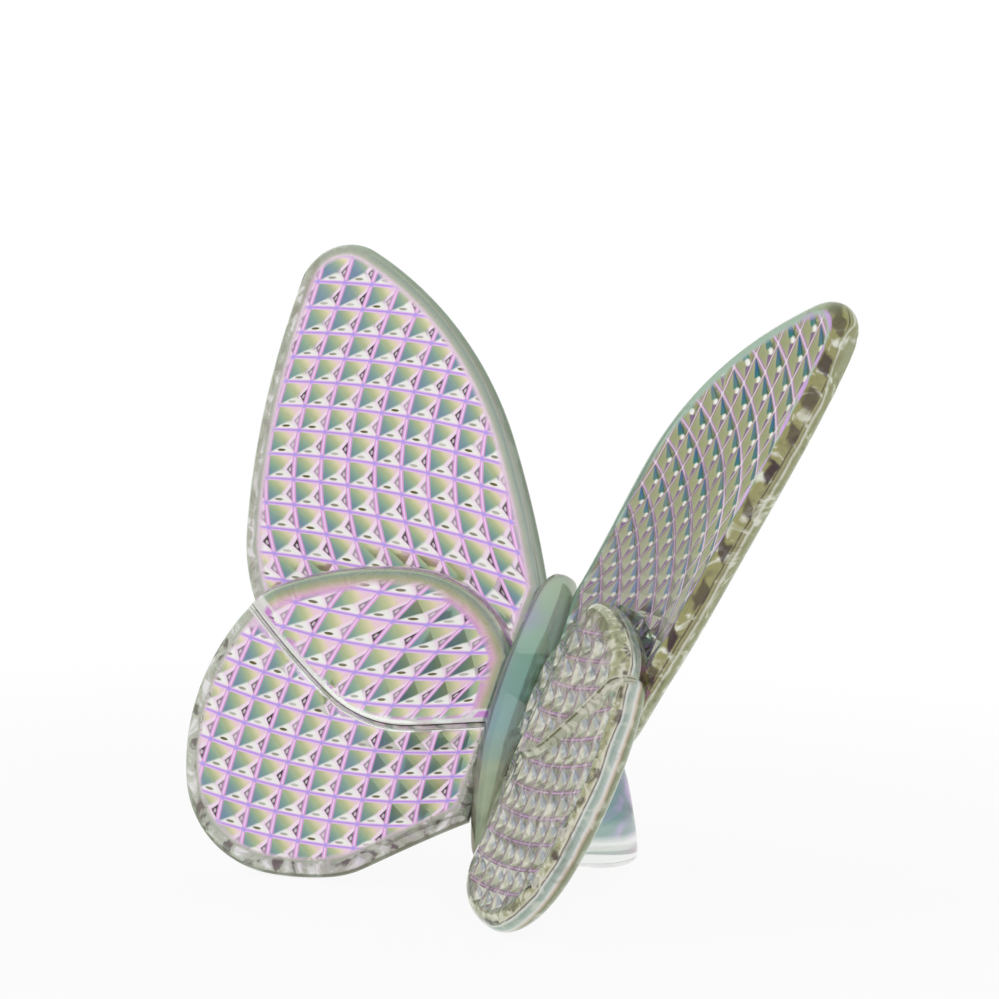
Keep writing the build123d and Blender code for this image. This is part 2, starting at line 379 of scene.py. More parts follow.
def slantedCells(nodes, marks, coating):
    # Seen at a slant: facet colours painted as the facets look from this view, olive, a blue-green
    # wedge above a painted highlight (a bright spot at the cell's tip) and a purple one below it
    along, across, down = marks.x - marks.y, (marks.x + marks.y).size(), marks.down
    colour = nodes.ramp(coating["slant"], marks.x + marks.y + 0.5)
    colour = nodes.mix(down * coating["lowerShare"], colour, coating["lowerSlant"])
    taper = along * coating["wedgeTaper"]
    upper = (across + taper).below(*coating["upperWidth"]) * along.past(*coating["upperPast"])
    blue = nodes.mix(along.past(*coating["tipPast"]), coating["upperTip"], coating["upper"])
    blue = nodes.mix(down, blue, coating["lowerTint"])
    colour = nodes.mix(upper * varied(marks.lot, coating["upperVaries"]), colour, blue)
    lower = (across - taper).below(*coating["lowerWidth"]) * along.below(*coating["lowerBelow"])
    colour = nodes.mix(lower * coating["lowerWedgeShare"], colour, coating["lower"])
    # Painted highlight: a bright spot at each cell's rounded tip, fainter lower down
    off = (along * along + across * across * coating["sparkFlat"]).root()
    spark = off.below(*coating["sparkReach"]) * (1 - down * coating["sparkFades"])
    colour = nodes.mix(spark, colour, coating["spark"])
    return nodes.mix(marks.hind * coating["hindShare"], colour, coating["hindSlant"])


def landColours(nodes, marks, colour, coating):
    # The lands between the cells, with another colour where rows and columns cross
    x, y = marks.x.size(), marks.y.size()
    border = x.larger(y)
    core = border.past(*coatingMarks["landCore"])
    rowLand = nodes.mix(core, coating["rowSide"], coating["rowLand"])
    columnLand = nodes.mix(core, coating["columnSide"], coating["columnLand"])
    lands = nodes.mix((y - x).past(*coatingMarks["rows"]), columnLand, rowLand)
    lands = nodes.mix((x + y).past(*coatingMarks["crossing"]), lands, coating["crossing"])
    return nodes.mix(border.past(*coatingMarks["land"]), colour, lands)


def lumpyRim(nodes, marks, margin, coating):
    # Seen from the front: pale and dark streaks along the outer edge, and the lobe's uncut row
    edge = marks.outer * (marks.rim + marks.lumps).below(*coating["edgeReach"])
    darkShare = marks.hind * coating["hindStreakShare"] + coating["darkStreakShare"]
    darkStreaks = marks.streaks.below(*coating["darkStreaks"]) * darkShare
    lumpy = nodes.mix(marks.streaks.past(*coating["paleStreaks"]), coating["outerEdge"], white)
    lumpy = nodes.mix(darkStreaks, lumpy, coating["stepDark"])
    lumpy = nodes.mix(marks.rim.below(*coating["outlineReach"]), lumpy, coating["outline"])
    margin = nodes.mix(edge * (1 - marks.raised), margin, lumpy)
    lobeStep = marks.step.size().below(*coating["stepReach"]) * marks.raised
    margin = nodes.mix(lobeStep, margin, coating["step"])
    uncut = marks.step.near(*coating["uncutRow"]) * marks.x.size().below(*coating["uncutWidth"])
    return nodes.mix(uncut * marks.raised, margin, coating["uncut"])


def bandedRim(nodes, marks, margin, coating):
    # Seen from its side: bands along the outer edge, with streaks and one painted dark refraction
    # of a cell, a square, for each row
    edge = marks.outer * marks.rim.below(*coating["bandReach"])
    depth = marks.level * 0.5 + 0.5 + marks.lumps * coating["bandLumps"]
    foreBand, hindBand = (nodes.ramp(coating[name], depth) for name in ("foreBand", "hindBand"))
    band = nodes.mix(marks.hind, foreBand, hindBand)
    streaks = marks.streaks.past(*coating["streaks"]) * (1 - marks.hind * coating["streaksOffHind"])
    band = nodes.mix(streaks, band, coating["streak"])
    darkShare = coating["darkStreakShare"] - marks.hind * coating["darkOffHind"]
    darkStreaks = marks.streaks.below(*coating["darkStreaks"]) * darkShare
    band = nodes.mix(darkStreaks, band, coating["stepDark"])
    margin = nodes.mix(edge, margin, band)
    middle = marks.hind * coating["hindSquareLevel"] + coating["squareLevel"]
    off = (marks.level - middle + marks.lumps).size() + marks.hind * coating["hindSquareDepth"]
    # Painted dark refraction: a dark square on the edge at each row
    square = (marks.y + marks.lumps * coating["squareLumps"]).near(*coating["squareRow"])
    square = square * off.below(*coating["squareDepth"])
    square = square * edge * varied(marks.lot, coating["squareVaries"])
    return nodes.mix(square, margin, coating["square"])


def paintedGlintsAndBeads(nodes, marks, colour, coating):
    # A fine speckle of painted highlights and dark specks over the hind wing's front, and a painted
    # refraction of the cells, a bead, at each row of the fore wing's outer edge
    # Painted highlights and dark specks from fine noise, on the hind wing's front
    fine = nodes.noise(marks.place, *coating["fine"])
    glintSpeckled = marks.hind * marks.level.past(*coating["grainLevel"]) * coating["grainShare"]
    colour = nodes.mix(fine.past(*coating["grainPast"]) * glintSpeckled, colour, coating["grain"])
    colour = nodes.mix(fine.below(*coating["darkGrain"]) * glintSpeckled, colour, coating["stepDark"])
    # Painted refraction of the cells: a pink bead at each row near the fore wing's outer edge
    bead = marks.outer * (1 - marks.hind) * marks.rim.near(*coating["beadRim"])
    bead = bead * marks.y.size().below(*coating["beadRow"])
    return nodes.mix(bead * marks.level.past(*coating["beadLevel"]), colour, coating["bead"])


def wingGlass(name, coating, cells, rim, finish=None):
    material = bpy.data.materials.new(name)
    nodes = Nodes(material)
    marks = wingMarks(nodes)
    colour = landColours(nodes, marks, cells(nodes, marks, coating), coating)
    inwards = (marks.rim / coatingMarks["marginOver"]).clamped()
    margin, ridge = (nodes.ramp(coating[part], inwards) for part in ("margin", "ridge"))
    margin = rim(nodes, marks, nodes.mix(marks.raised, margin, ridge), coating)
    stepLine, stepFoot = (marks.step.near(*line) for line in coatingMarks["stepLines"])
    margin = nodes.mix(marks.step.size().below(*coatingMarks["step"]), margin, coating["step"])
    margin = nodes.mix(stepLine.larger(stepFoot), margin, coating["stepDark"])
    colour = nodes.mix(marks.netted, margin, colour)
    if finish:
        colour = finish(nodes, marks, colour, coating)
    colour = nodes.mix(marks.hidden, colour, white)
    share = marks.netted * (coating["coat"] - coating["marginCoat"]) + coating["marginCoat"]
    nodes.end(coated(nodes, share * (1 - marks.hidden), colour, glassValues))
    return material


smoothGlassValues = {
    "ior": 1.5, "filmThickness": 480.0, "filmIor": 1.9, "roughness": 0.02,
    "coatRoughness": 0.16, "metallic": 0.6, "clearness": 0.5,
}
bodyColourValues = {
    "rise": (  # colours up the body
        (0.0, (0.38, 0.39, 0.24)), (0.3, (0.36, 0.40, 0.27)), (0.46, (0.28, 0.42, 0.45)),
        (0.66, (0.31, 0.48, 0.40)), (0.85, (0.48, 0.58, 0.43)),
    ),
    "riseOver": 35.0,  # mm
    "tint": (0.42, 0.36, 0.62), "cloud": (130.0, 1.0), "cloudPast": (0.55, 6), "cloudShare": 0.8,
    "streaks": (190.0, 3.0, 0.8), "lowBelow": (17.0, 0.25),
    "straw": (0.58, 0.56, 0.32), "strawPast": (0.52, 5), "strawShare": 0.8,
    "dark": (0.05, 0.06, 0.03), "darkBelow": (0.46, 5), "darkShare": 0.9, "coat": 0.66,
}
footColourValues = {
    "band": (0.06, 0.22, 0.20), "tint": (0.34, 0.26, 0.55), "clear": (0.96, 0.98, 0.96),
    "streaks": (200.0, 2.0, 1.5), "tintPast": (0.4667, 6), "bandPast": (2.6, 1.1), "coat": 0.5,
}


def bodyColours(nodes, place, height, settings):
    # Teal above, with a lilac cloud, and painted straw and dark refractions below
    colour = nodes.ramp(settings["rise"], height / settings["riseOver"])
    cloud = nodes.noise(place, *settings["cloud"]).past(*settings["cloudPast"])
    colour = nodes.mix(cloud * settings["cloudShare"], colour, settings["tint"])
    streaks = nodes.noise(place, *settings["streaks"])
    low = height.below(*settings["lowBelow"])
    # Painted refractions: straw and dark streaks low on the body
    straw = low * streaks.past(*settings["strawPast"]) * settings["strawShare"]
    dark = low * streaks.below(*settings["darkBelow"]) * settings["darkShare"]
    return nodes.mix(dark, nodes.mix(straw, colour, settings["straw"]), settings["dark"])


def footColours(nodes, place, height, settings):
    # Clear at the base, with a dark blue-green and lilac band above
    streaks = nodes.noise(place, *settings["streaks"])
    band = nodes.mix(streaks.past(*settings["tintPast"]), settings["band"], settings["tint"])
    return nodes.mix(height.past(*settings["bandPast"]), settings["clear"], band)


def smoothGlass(name, colours, settings):
    material = bpy.data.materials.new(name)
    nodes = Nodes(material)
    place = nodes.place()
    colour = colours(nodes, place, nodes.parts(place)[2] / mm, settings)
    nodes.end(coated(nodes, settings["coat"], colour, smoothGlassValues))
    return material


# Blades: a wing's own frame has u outwards, v up the blade and w out of its upper face, in mm.
# A net gives u and v where column k, counted inwards, crosses row r, counted down: see gridSum
foreWing = {
    "hind": 0.0, "sweep": 25.0, "lean": 24.8, "rootY": -6.25,
    "reach": 28.8, "rise": 67.4, "drop": 0.0,
    "rootAngle": 72.4,
    "outline": (
        (-0.18, 0.467), (0.038, 0.705), (0.681, 0.993), (0.941, 0.939), (0.972, 0.524),
        (0.493, 0.261), (-0.083, 0.255),
    ),
    "halfThickness": 1.5, "rimRadius": 1.5, "netMargin": 1.5, "netFade": 1.3,
    "nets": {
        "left": (
            (24.907, -2.978, 0.334, 0.0868, -0.0086, 0.0372, -0.01, -0.0067),
            (62.705, 0.111, -2.962, 0.037, -0.0398, 0.0459, -0.0055, -0.0022),
        ),
        "right": (  # its rows climb towards the body
            (22.962, -2.970, 0.0784, 0.1637, -0.0283, -0.1408, 0.0, 0.0),
            (61.846, 1.745, -3.216, -0.0010, -0.0605, 0.0427, 0.0, 0.0),
        ),
    },
    "columns": {"left": (-2, 14), "right": (-8, 13)}, "rows": (-3, 19),
    "bulge": 0.7, "bulgeOver": 8.0,
    "bend": (-10.17, 0.3493, 0.221, -0.01091, 0.00683, -0.00017, 0.0, 0.0), "mostBend": 2.2,
    "sight": (-0.27, -0.32),  # which way the bend moves the blade, besides out of its face
    "cover": (-0.2, 0.5),  # mm: from the hind wing's outline to the net, and its fade
    "lowFrom": 48.0, "lowOver": 22.0,  # mm: where the lower colours set in
}
hindWing = {
    "hind": 1.0, "sweep": 32.0, "lean": 25.2, "rootY": -6.95,
    "reach": 28.4, "rise": 33.6, "drop": 0.35,
    "rootAngle": 73.2,
    "outline": (
        (-0.183, 0.714), (0.257, 0.997), (0.725, 0.918), (0.812, 0.862), (0.979, 0.277),
        (0.637, 0.018), (0.419, 0.021), (0.3, 0.055), (-0.056, 0.213),
    ),
    "lobeAngle": -131.0,
    "lobeEdge": ((0.845, 0.863), (0.497, 0.571), (0.176, 0.482), (-0.088, 0.506)),
    "halfThickness": 1.5, "rimRadius": 1.5, "lobeHeight": 0.9, "lobeRim": 2.1, "lobeStep": 0.45,
    "stepLines": (-0.3, -0.15, 0, 0.15, 0.3), "stepInside": 0.4,
    "netMargin": 1.3, "netFade": 1.2,
    "nets": {
        "lower": (
            (24.409, -2.696, 0.705, -0.025, -0.0064, -0.0512, 0.0, 0.0),
            (18.753, -0.820, -2.728, 0.0132, 0.0595, 0.0166, 0.0, 0.0),
        ),
        "lobe": (
            (24.859, -2.098, -0.585, 0.278, -0.0323, -0.1412, 0.0, 0.0),
            (18.753, -1.059, -2.867, -0.0251, 0.0727, -0.033, 0.0, 0.0),
        ),
    },
    "columns": (-2, 14), "rows": {"lower": (-6, 9), "lobe": (-9, 3)},
    "gaps": {"left": (2.6, 0.75, 0.3), "right": (1.6, 0.3, 0.25)},  # lobe to rim, both to step
    "lobeFade": 0.4, "lowerFade": 0.3,
    "bulge": 1.3, "bulgeOver": 7.0,
    "mostBend": 2.2, "bendFrom": 9.0, "bendOver": 10.0, "sight": (-0.152, -0.33),
    "cover": (0.3, 0.4),
    "lowShare": 0.8,
}
cellCut = {
    "pitch": 2.75, "land": 0.225, "landDrop": 0.03, "depth": 0.62,  # mm
    "tip": 0.46, "lattice": 6, "least": 0.15,  # least share of a cell that is cut
}
rimTurns = (0, 8, 18, 30, 44, 60, 76, 90)  # degrees round the rim
outlineStep, lobeLineStep, lobeLineReach = 0.55, 0.5, 3.0
underneath = 0.2  # mm inside the other wing's outline, from where a face is hidden
farFromStep = 9.0
outerSide = {"height": 25.0, "lean": 0.52, "over": 8.0}  # the line where the outer edge starts
rearInside = 1.45  # mm from the outline, where the rear face's own coating starts
bladeSharp, tubeSharp = 17, 50  # degrees between faces from which an edge stays sharp
widest = cadBox[1][0] / mm - 0.02  # mm from the middle: the bend stays inside the frame's box


def gridSum(terms, k, r):
    # Shares of 1, k, r, kr, k squared, r squared, k by r squared, and r cubed
    one, k1, r1, both, k2, r2, skew, r3 = terms
    square = r * r
    level = one + k1 * k + r1 * r + both * k * r + k2 * k * k + r2 * square
    return level + (skew * k + r3 * r) * square


def crossingOf(net):
    return lambda k, r: (gridSum(net[0], k, r), gridSum(net[1], k, r))


def smoothStep(share):
    share = min(1.0, max(0.0, share))
    return share * share * (3 - 2 * share)


def foreBend(u, v):
    # How far the blade bends out of its plane: back at the root, forwards at the lower outer corner
    most = foreWing["mostBend"]
    return most * math.tanh(gridSum(foreWing["bend"], u, v) / most)


def hindBend(u, v):
    return -hindWing["mostBend"] * smoothStep((hindWing["bendFrom"] - u) / hindWing["bendOver"])


def arcChain(points, firstAngle, step):
    # Points along tangent arcs from point to point, as the frame's outlines are drawn
    angle = math.radians(firstAngle)
    tiny, fewest = 1e-9, 3
    path = [Vector(points[0])]
    for start, end in zip(points, points[1:]):
        chord = Vector(end) - Vector(start)
        half = math.atan2(chord.y, chord.x) - angle
        half = (half + math.pi) % (2 * math.pi) - math.pi
        bow = math.sin(half) or tiny
        count = max(fewest, round(chord.length * (half or tiny) / bow / step))
        for i in range(1, count + 1):
            share = half * i / count
            length = chord.length * i / count
            if abs(half) > 1e-6:
                length = chord.length * math.sin(share) / bow
            along = Vector((math.cos(angle + share), math.sin(angle + share)))
            path.append(Vector(start) + along * length)
        angle += 2 * half
    return path


def bladePoints(wing, shares):
    return [(wing["reach"] * out, wing["rise"] * high - wing["drop"]) for out, high in shares]


def closedOutline(wing):
    path = arcChain(bladePoints(wing, wing["outline"]), wing["rootAngle"], outlineStep)
    root = path[0] - path[-1]
    count = max(2, round(root.length / outlineStep))
    return path + [path[-1] + root * (i / count) for i in range(1, count)]


def nearest(path):
    # Gives the distance of a point to the path, and on which side it lies
    dense, between = [], 8
    for a, b in zip(path, path[1:]):
        for i in range(between):
            dense.append((a.lerp(b, i / between), (b - a).normalized()))
    tree = KDTree(len(dense))
    for i, (point, _) in enumerate(dense):
        tree.insert((point.x, point.y, 0), i)
    tree.balance()

    def measure(u, v):
        place, i, distance = tree.find((u, v, 0))
        along = dense[i][1]
        side = along.x * (v - place.y) - along.y * (u - place.x)
        return math.copysign(distance, side)
    return measure


def insetRing(loop, inset):
    # The loop runs clockwise, so its inner side is on the right
    ring = []
    for i, point in enumerate(loop):
        along = (loop[(i + 1) % len(loop)] - loop[i - 1]).normalized()
        ring.append(point + Vector((along.y, -along.x)) * inset)
    return ring


class Face:
    # One face of a blade: points in its plane with their dents, and the lines that edges follow
    def __init__(self, level):
        self.level = level
        self.points, self.dents, self.edges = [], [], []

    def point(self, u, v, dent=0.0):
        self.points.append(Vector((u, v)))
        self.dents.append(dent)
        return len(self.points) - 1

    def line(self, indices, closed=False):
        self.edges += zip(indices, indices[1:])
        if closed:
            self.edges.append((indices[-1], indices[0]))

    def rim(self, loop, radius):
        # Rings that round the rim off, closer together at the edge
        self.line([self.point(*point) for point in loop], closed=True)
        for turn in rimTurns[1:]:
            for point in insetRing(loop, radius * (1 - math.cos(math.radians(turn)))):
                self.point(*point)

    def cut(self, crossing, columns, rows, allowed):
        # Inverted pyramids between the lines of the net, and the lands that peak along them
        land = cellCut["land"] / cellCut["pitch"]
        for k in range(*columns):
            for r in range(*rows):
                def at(s, t):
                    across, down = land + s * (1 - 2 * land), land + t * (1 - 2 * land)
                    return crossing(k + across, r + down)
                corners = [at(0, 0), at(1, 0), at(1, 1), at(0, 1)]
                fades = [allowed(*corner) for corner in corners]
                if allowed(*at(0.5, 0.5)) <= cellCut["least"] or max(fades) <= 0:
                    continue
                if min(fades) >= 1:
                    self.wholeCell(at, corners)
                else:
                    self.fadingCell(at, allowed)
        self.lands(crossing, columns, rows, allowed)

    def wholeCell(self, at, corners):
        near, far = cellCut["tip"], 1 - cellCut["tip"]
        deepest = cellCut["depth"] * 2 * near
        outer = [self.point(*corner, cellCut["landDrop"]) for corner in corners]
        tips = [
            self.point(*at(s, t), deepest)
            for s, t in ((near, near), (far, near), (far, far), (near, far))
        ]
        self.line(outer, closed=True)
        self.line(tips, closed=True)
        self.edges += zip(outer, tips)

    def fadingCell(self, at, allowed):
        # A cell at the edge of the net gets shallower towards it
        fine, lattice = cellCut["lattice"], {}
        for i in range(fine + 1):
            for j in range(fine + 1):
                u, v = at(i / fine, j / fine)
                fade = allowed(u, v)
                if fade > 0:
                    slope = 2 * min(i, j, fine - i, fine - j) / fine
                    dent = (cellCut["landDrop"] + cellCut["depth"] * slope) * fade
                    lattice[i, j] = self.point(u, v, dent)
        for (i, j), index in lattice.items():
            steps = []
            if i in (0, fine):
                steps.append((i, j + 1))
            if j in (0, fine):
                steps.append((i + 1, j))
            if i == j:
                steps.append((i + 1, j + 1))
            if i + j == fine:
                steps.append((i + 1, j - 1))
            self.edges += [(index, lattice[step]) for step in steps if step in lattice]

    def lands(self, crossing, columns, rows, allowed):
        made = {}
        for k in range(*columns):
            for r in range(*rows):
                u, v = crossing(k, r)
                if allowed(u, v) > 0:
                    made[k, r] = self.point(u, v)
        for (k, r), index in made.items():
            for step in ((k + 1, r), (k, r + 1)):
                if step in made:
                    self.edges.append((index, made[step]))

    def triangles(self):
        made = delaunay_2d_cdt(self.points, self.edges, [], 1, 1e-5)
        points, faces, origins = made[0], made[2], made[3]
        dents = [self.dents[origin[0]] if origin else 0.0 for origin in origins]
        heights = [self.level(point.x, point.y) - dent for point, dent in zip(points, dents)]
        return points, faces, heights


def bladePlace(wing):
    sweep, lean = math.radians(wing["sweep"]), math.radians(wing["lean"])
    outwards = Vector((math.cos(sweep), -math.sin(sweep), 0))
    upper = Vector((
        -math.sin(sweep) * math.cos(lean), -math.cos(sweep) * math.cos(lean), math.sin(lean),
    ))
    upBlade = upper.cross(outwards)
    origin = Vector((0, wing["rootY"], 0))
    return origin, outwards, upBlade, upper


def makePiece(name, bm, sharpAngle):
    for item in bm.faces:
        item.smooth = True
    for edge in bm.edges:
        if edge.is_manifold and edge.calc_face_angle(0) > math.radians(sharpAngle):
            edge.smooth = False
    loose = sum(1 for edge in bm.edges if not edge.is_manifold)
    mesh = bpy.data.meshes.new(name)
    bm.to_mesh(mesh)
    bm.free()
    piece = bpy.data.objects.new(name, mesh)
    bpy.context.collection.objects.link(piece)
    print(name, len(mesh.polygons), "faces, open edges", loose)
    return piece


def bladeMesh(name, wing, bendOf, front, rear, side):
    # Joins the two faces along the outline and sets the blade in its place
    origin, outwards, upBlade, upper = bladePlace(wing)
    mirror = Vector((side, 1, 1))
    bm = bmesh.new()
    layers = (bm.verts.layers.float.new(layer) for layer in ("level", "across", "upwards"))
    level, across, upwards = layers
    shift = outwards * wing["sight"][0] + upBlade * wing["sight"][1] + upper
    for face, sign in ((front, 1), (rear, -1)):
        points, faces, heights = face.triangles()
        made = []
        for point, height in zip(points, heights):
            bend = bendOf(point.x, point.y)
            flat = origin + outwards * point.x + upBlade * point.y + upper * height * sign
            if flat.x + shift.x * bend > widest:
                bend = (widest - flat.x) / shift.x
            place = flat + shift * bend
            place.z = max(place.z, 0)
            vertex = bm.verts.new(place * mirror * mm)
            vertex[level] = sign * height / wing["halfThickness"]
            vertex[across], vertex[upwards] = point
            made.append(vertex)
        for corners in faces:
            turned = corners if sign * side > 0 else corners[::-1]
            bm.faces.new([made[i] for i in turned])
    bmesh.ops.remove_doubles(bm, verts=bm.verts, dist=2e-7)
    bmesh.ops.dissolve_degenerate(bm, edges=bm.edges, dist=1e-7)
    return makePiece(name, bm, bladeSharp)


def netPlace(crossing, u, v):
    # Newton's steps back from a place on the blade to the net's own counts of columns and rows
    start, steps, nudge, most = 5.0, 7, 0.01, 6
    k, r = start, start
    for _ in range(steps):
        cu, cv = crossing(k, r)
        ku, kv = crossing(k + nudge, r)
        ru, rv = crossing(k, r + nudge)
        a, b, c, d = (ku - cu) / nudge, (ru - cu) / nudge, (kv - cv) / nudge, (rv - cv) / nudge
        span = a * d - b * c or 1e-9
        k += max(-most, min(most, ((u - cu) * d - b * (v - cv)) / span))
        r += max(-most, min(most, (a * (v - cv) - (u - cu) * c) / span))
    return k, r


def bladeMarks(piece, wing, side, inside, toStep, nets, netted, covers):
    # Attributes for the coating: the place in the cell, in the rim, and what lies over the face
    upper = bladePlace(wing)[3]
    mirror = Vector((side, 1, 1))
    mesh = piece.data
    marks = (
        ("edge", "FLOAT_VECTOR", "POINT"), ("step", "FLOAT", "POINT"), ("hind", "FLOAT", "POINT"),
        ("cell", "FLOAT_VECTOR", "CORNER"), ("over", "FLOAT_VECTOR", "FACE"),
    )
    for mark in marks:
        mesh.attributes.new(*mark)
    layers = ("across", "upwards", "level")
    across, upwards, level = (mesh.attributes[layer].data for layer in layers)
    edge, step, hind, cell, over = (mesh.attributes[name].data for name, _, _ in marks)
    for i in range(len(mesh.vertices)):
        u, v = across[i].value, upwards[i].value
        outer = u - (v - outerSide["height"]) * outerSide["lean"]
        outer = smoothStep(0.5 + outer / outerSide["over"])
        edge[i].vector = (inside(u, v), level[i].value, outer)
        step[i].value = toStep(u, v) if level[i].value > 0 else farFromStep
        hind[i].value = wing["hind"]
    known = {}
    for i, polygon in enumerate(mesh.polygons):
        u = sum(across[j].value for j in polygon.vertices) / 3
        v = sum(upwards[j].value for j in polygon.vertices) / 3
        w = (polygon.normal * mirror).dot(upper)
        crossing, allowed = nets(u, v, w), netted(u, v, w)
        for corner in polygon.loop_indices:
            j = mesh.loops[corner].vertex_index
            if (j, crossing) not in known:
                place = across[j].value, upwards[j].value
                share = max(0.0, min(1.0, allowed(*place)))
                known[j, crossing] = (*netPlace(crossing, *place), share)
            cell[corner].vector = known[j, crossing]
        over[i].vector = covers(u, v, w)


def rimProfile(distance, radius, height):
    share = min(1.0, max(0.0, distance / radius))
    return height * math.sqrt(1 - (1 - share) ** 2)


foreLoop, hindLoop = closedOutline(foreWing), closedOutline(hindWing)
toFore = nearest(foreLoop + foreLoop[:1])
toHind = nearest(hindLoop + hindLoop[:1])
lobePoints = bladePoints(hindWing, hindWing["lobeEdge"])
lobeLine = arcChain(lobePoints, hindWing["lobeAngle"], lobeLineStep)
first, last = lobeLine[0], lobeLine[-1]
before = first + (first - lobeLine[1]).normalized() * lobeLineReach
after = last + (last - lobeLine[-2]).normalized() * lobeLineReach
lobeLine = [before] + lobeLine + [after]
toLobe = nearest(lobeLine)
forePlace, hindPlace = bladePlace(foreWing), bladePlace(hindWing)


def insideFore(u, v):
    return -toFore(u, v)


def insideHind(u, v):
    return -toHind(u, v)


def onBlade(u, v, own, other):
    # The same place in the other blade's frame
    place = own[0] + own[1] * u + own[2] * v - other[0]
    return place.dot(other[1]), place.dot(other[2])


def pastHind(u, v):
    # How far a place on the fore wing lies outside the hind wing's outline
    return toHind(*onBlade(u, v, forePlace, hindPlace))


def pastFore(u, v):
    return toFore(*onBlade(u, v, hindPlace, forePlace))


def noStep(u, v):
    return farFromStep


def plainLevel(wing, inside):
    return lambda u, v: rimProfile(inside(u, v), wing["rimRadius"], wing["halfThickness"])


def rearLevel(wing, inside):
    # The rear face bulges away from the rim
    def level(u, v):
        distance = inside(u, v)
        bulge = wing["bulge"] * smoothStep(distance / wing["bulgeOver"])
        return rimProfile(distance, wing["rimRadius"], wing["halfThickness"]) + bulge
    return level


def lobedLevel(u, v):
    raised = smoothStep(0.5 - toLobe(u, v) / hindWing["lobeStep"])
    radius = hindWing["rimRadius"] + (hindWing["lobeRim"] - hindWing["rimRadius"]) * raised
    height = hindWing["halfThickness"] + hindWing["lobeHeight"] * raised
    return rimProfile(insideHind(u, v), radius, height)


def foreNetted(covered):
    gap, fade = foreWing["cover"]

    def allowed(u, v):
        share = (insideFore(u, v) - foreWing["netMargin"]) / foreWing["netFade"]
        if covered:
            share = min(share, (pastHind(u, v) - gap) / fade)
        return min(1.0, share)
    return allowed


def hindNetted(sideName):
    # Where each of the hind wing's nets is cut: below the step, on the lobe and on the rear face
    lobeMargin, lobeGap, lowerGap = hindWing["gaps"][sideName]
    gap, fade = hindWing["cover"]

    def fromRim(u, v, margin):
        return (insideHind(u, v) - margin) / hindWing["netFade"]

    def lower(u, v):
        fromStep = (toLobe(u, v) - lowerGap) / hindWing["lowerFade"]
        return min(1.0, fromRim(u, v, hindWing["netMargin"]), fromStep)

    def lobe(u, v):
        fromStep = (-toLobe(u, v) - lobeGap) / hindWing["lobeFade"]
        return min(1.0, fromRim(u, v, lobeMargin), fromStep)

    def rear(u, v):
        return min(1.0, fromRim(u, v, hindWing["netMargin"]), (pastFore(u, v) - gap) / fade)
    return lower, lobe, rear


def foreFaces(sideName, crossing):
    faces = Face(plainLevel(foreWing, insideFore)), Face(rearLevel(foreWing, insideFore))
    columns, rows = foreWing["columns"][sideName], foreWing["rows"]
    for face, covered in zip(faces, (True, False)):
        face.rim(foreLoop, foreWing["rimRadius"])
        face.cut(crossing, columns, rows, foreNetted(covered))
    return faces


def hindFaces(lower, lobe, rear):
    front, back = Face(lobedLevel), Face(rearLevel(hindWing, insideHind))
    for face in (front, back):
        face.rim(hindLoop, hindWing["rimRadius"])
    columns, rows = hindWing["columns"], hindWing["rows"]
    front.cut(hindCrossing, columns, rows["lower"], lower)
    front.cut(lobeCrossing, columns, rows["lobe"], lobe)
    back.cut(hindCrossing, columns, rows["lower"], rear)
    for shift in hindWing["stepLines"]:  # the step at the lobe's lower edge
        line = []
        for i in range(1, len(lobeLine) - 1):
            along = (lobeLine[i + 1] - lobeLine[i - 1]).normalized()
            place = lobeLine[i] + Vector((-along.y, along.x)) * shift
            if insideHind(*place) > hindWing["stepInside"]:
                line.append(front.point(*place))
        front.line(line)
    return front, back


def hindNets(u, v, w):
    return lobeCrossing if w > 0 and toLobe(u, v) < 0 else hindCrossing


def foreCovers(u, v, w):
    # What lies over this face: nothing raised, the other wing's glass, and how far down it is
    hidden = 1.0 if w > 0 and pastHind(u, v) < -underneath else 0.0
    return 0.0, hidden, smoothStep((foreWing["lowFrom"] - v) / foreWing["lowOver"])


def hindCovers(u, v, w):
    raised = 1.0 if w > 0 and toLobe(u, v) < 0 else 0.0
    hidden = 1.0 if w < 0 and pastFore(u, v) < -underneath else 0.0
    return raised, hidden, hindWing["lowShare"]


def makeForeWing(sideName, side):
    crossing = crossingOf(foreWing["nets"][sideName])
    front, rear = foreFaces(sideName, crossing)
    piece = bladeMesh(sideName + "ForeWing", foreWing, foreBend, front, rear, side)
    covered, bare = foreNetted(True), foreNetted(False)
    bladeMarks(
        piece, foreWing, side, insideFore, noStep,
        lambda u, v, w: crossing, lambda u, v, w: bare if w < 0 else covered, foreCovers,
    )
    return piece


def makeHindWing(sideName, side):
    lower, lobe, rear = hindNetted(sideName)
    front, back = hindFaces(lower, lobe, rear)
    piece = bladeMesh(sideName + "HindWing", hindWing, hindBend, front, back, side)

    def netted(u, v, w):
        upperNet = lobe if toLobe(u, v) < 0 else lower
        return rear if w < 0 else upperNet
    bladeMarks(piece, hindWing, side, insideHind, toLobe, hindNets, netted, hindCovers)
    return piece


def coatRear(piece, material):
    # The rear face, inside the rim, gets a coating of its own
    piece.data.materials.append(material)
    edge, upper = piece.data.attributes["edge"].data, forePlace[3]
    for polygon in piece.data.polygons:
        rim = min(edge[j].vector.x for j in polygon.vertices)
        if polygon.normal.dot(upper) < 0 and rim > rearInside:
            polygon.material_index = 1


